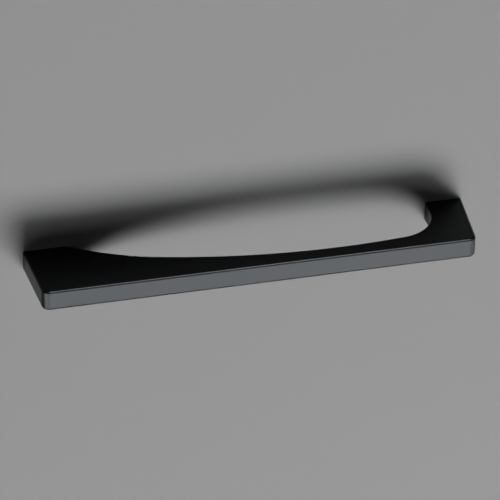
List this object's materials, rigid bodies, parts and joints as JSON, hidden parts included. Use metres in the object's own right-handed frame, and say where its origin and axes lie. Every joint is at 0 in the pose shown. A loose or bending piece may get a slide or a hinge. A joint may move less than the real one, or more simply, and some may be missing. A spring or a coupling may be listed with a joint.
{
  "type": "cabinet handle",
  "caption": "Satin black one-piece cabinet pull: a slim straight bar on a tapering foot and an upright leg, with a finger gap behind it, fixed by screws from behind.",
  "frame": {"origin": "middle of the two soles, on the plane of the cabinet front that the handle is screwed to", "axes": "+X along the handle towards the long tapering foot, +Z out of the cabinet front, Y across the bar's thickness"},
  "size_m": [0.178, 0.0088, 0.0295],
  "materials": {
    "black_coat": "satin"
  },
  "bodies": {
    "root": {"handle": "black_coat"}
  },
  "joints": []
}
